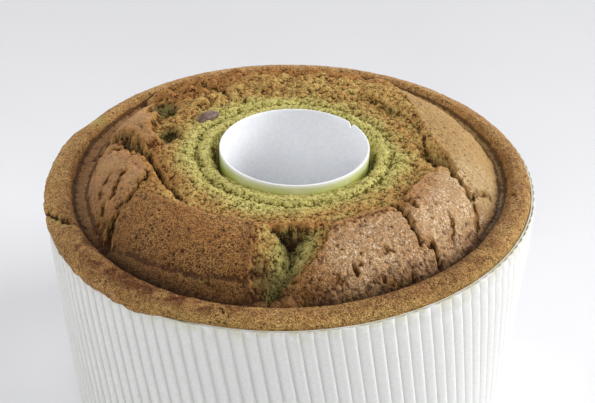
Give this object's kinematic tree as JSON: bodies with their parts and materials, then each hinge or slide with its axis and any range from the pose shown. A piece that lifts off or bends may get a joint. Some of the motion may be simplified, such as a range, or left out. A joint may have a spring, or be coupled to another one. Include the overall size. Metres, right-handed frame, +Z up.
{
  "type": "green tea chiffon cake in its paper mould",
  "caption": "Whole domed green tea chiffon cake with a cracked brown crust, still in its fluted white paper mould with a centre tube.",
  "frame": {"origin": "on the floor, under the middle of the paper wall's top edge", "axes": "+Z up along the centre tube; -Y is the front that the picture shows, +X to the right"},
  "size_m": [0.1716, 0.1731, 0.1011],
  "materials": {
    "cake": "matte",
    "paper_wall": "matte",
    "paper_base": "matte",
    "paper_tube": "matte",
    "bean": "matte"
  },
  "bodies": {
    "root": {"cake": "cake", "paper_wall": "paper_wall", "paper_base": "paper_base", "paper_tube": "paper_tube", "bean": "bean"}
  },
  "joints": []
}
